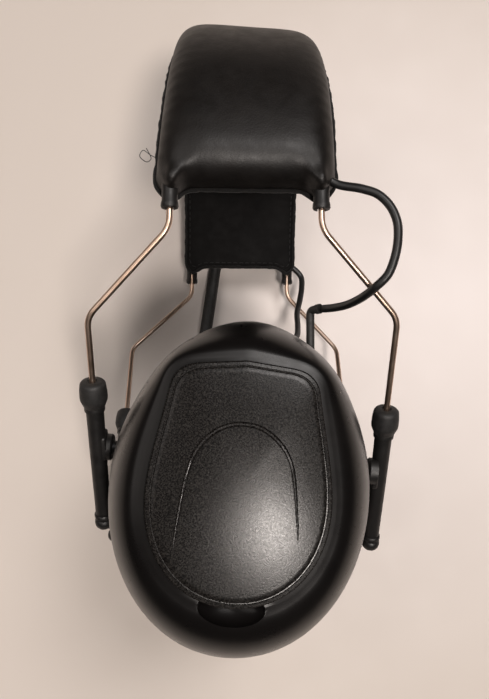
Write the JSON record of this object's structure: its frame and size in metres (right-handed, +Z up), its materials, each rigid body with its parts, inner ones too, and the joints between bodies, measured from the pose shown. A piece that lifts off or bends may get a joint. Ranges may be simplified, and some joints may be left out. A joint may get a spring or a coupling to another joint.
{
  "type": "hearing protection earmuffs",
  "caption": "Wire-headband hearing protection earmuffs with a padded crown cover, height sliders, powered cups, an interconnect lead and a stub antenna.",
  "frame": {"origin": "centre of the bounding box's base, on the surface the right cup lies on", "axes": "+Z up from the right cup to the left cup along the ear-to-ear axis, +Y towards the crown of the headband, +X towards the back of the wearer's head"},
  "size_m": [0.1004, 0.2234, 0.1593],
  "materials": {
    "battery_jacket": "plain printed jacket with no lettering",
    "black_rubber": "matt soft rubber",
    "bright_steel": "plated steel",
    "circuit_board": "solder mask",
    "foam": "open-cell acoustic foam",
    "gloss_black": "semi-gloss moulded plastic",
    "grained_black": "fine spark-textured moulded plastic",
    "leatherette": "soft semi-matt leatherette with fine grain",
    "matte_black": "satin moulded plastic",
    "wire_steel": "polished spring steel with a warm tint"
  },
  "bodies": {
    "right_headband": {"right_headband_cover": "leatherette", "right_headband_foam": "foam", "right_wire_spacer": "matte_black", "right_cable": "black_rubber", "right_front_wire": "wire_steel", "right_front_ferrule": "matte_black", "right_rear_wire": "wire_steel", "right_rear_ferrule": "matte_black"},
    "left_headband": {"left_headband_cover": "leatherette", "left_headband_foam": "foam", "left_wire_spacer": "matte_black", "left_cable": "black_rubber", "left_front_wire": "wire_steel", "left_front_ferrule": "matte_black", "left_rear_wire": "wire_steel", "left_rear_ferrule": "matte_black"},
    "left_sliders": {"left_front_slider_tube": "matte_black", "left_front_slider_collar": "black_rubber", "left_front_slider_cap": "matte_black", "left_front_pivot_clip": "bright_steel", "left_rear_slider_tube": "matte_black", "left_rear_slider_collar": "black_rubber", "left_rear_slider_cap": "matte_black", "left_rear_pivot_clip": "bright_steel"},
    "right_sliders": {"right_front_slider_tube": "matte_black", "right_front_slider_collar": "black_rubber", "right_front_slider_cap": "matte_black", "right_front_pivot_clip": "bright_steel", "right_rear_slider_tube": "matte_black", "right_rear_slider_collar": "black_rubber", "right_rear_slider_cap": "matte_black", "right_rear_pivot_clip": "bright_steel"},
    "left_cup": {"left_cup_shell": "gloss_black", "left_ear_cushion": "leatherette", "left_cushion_plate": "matte_black", "left_cord_elbow": "black_rubber", "left_foam_liner": "foam", "left_speaker": "matte_black", "battery_tray": "matte_black", "front_battery_cell": "battery_jacket", "rear_battery_cell": "battery_jacket"},
    "right_cup": {"right_cup_shell": "gloss_black", "right_ear_cushion": "leatherette", "right_cushion_plate": "matte_black", "right_cord_elbow": "black_rubber", "right_foam_liner": "foam", "right_speaker": "matte_black", "right_outer_cover": "grained_black", "circuit_board": "circuit_board", "antenna_base": "matte_black", "antenna": "black_rubber"},
    "lid": {"battery_lid": "grained_black", "lid_hinge_pin": "bright_steel"},
    "volume": {"volume_knob": "black_rubber"},
    "tuning": {"tuning_knob": "black_rubber"}
  },
  "joints": [
    {"name": "headband_flex", "type": "hinge", "parent": "right_headband", "child": "left_headband", "pos_m": [0, 0.1119, 0.07798], "axis": [-1, 0, 0], "range_deg": [0, 50], "stiffness_Nm_per_rad": 0.9, "springref_deg": -51.57},
    {"name": "left_slide", "type": "slide", "parent": "left_headband", "child": "left_sliders", "axis": [0, -0.8554, -0.518], "range_m": [-0.016, 0], "deforming": ["left_cable"]},
    {"name": "right_slide", "type": "slide", "parent": "right_headband", "child": "right_sliders", "axis": [0, -0.8554, 0.518], "range_m": [-0.018, 0], "deforming": ["right_cable"]},
    {"name": "left_cup_tilt", "type": "hinge", "parent": "left_sliders", "child": "left_cup", "pos_m": [0, -0.04227, 0.10939], "axis": [0.9958, -0.0917, 0], "range_deg": [-7, 7]},
    {"name": "right_cup_tilt", "type": "hinge", "parent": "right_sliders", "child": "right_cup", "pos_m": [0, -0.04779, 0.0499], "axis": [-1, 0, 0], "range_deg": [0, 8]},
    {"name": "battery_lid_hinge", "type": "hinge", "parent": "left_cup", "child": "lid", "pos_m": [0.00257, -0.01439, 0.15679], "axis": [-0.9958, 0.0917, 0], "range_deg": [0, 90]},
    {"name": "volume_turn", "type": "hinge", "parent": "right_cup", "child": "volume", "pos_m": [-0.015, -0.10398, 0.0359], "axis": [-0.3312, -0.9435, 0], "range_deg": [-140, 140]},
    {"name": "tuning_turn", "type": "hinge", "parent": "right_cup", "child": "tuning", "pos_m": [0.015, -0.10398, 0.0359], "axis": [0.3312, -0.9435, 0], "range_deg": [-140, 140]}
  ]
}
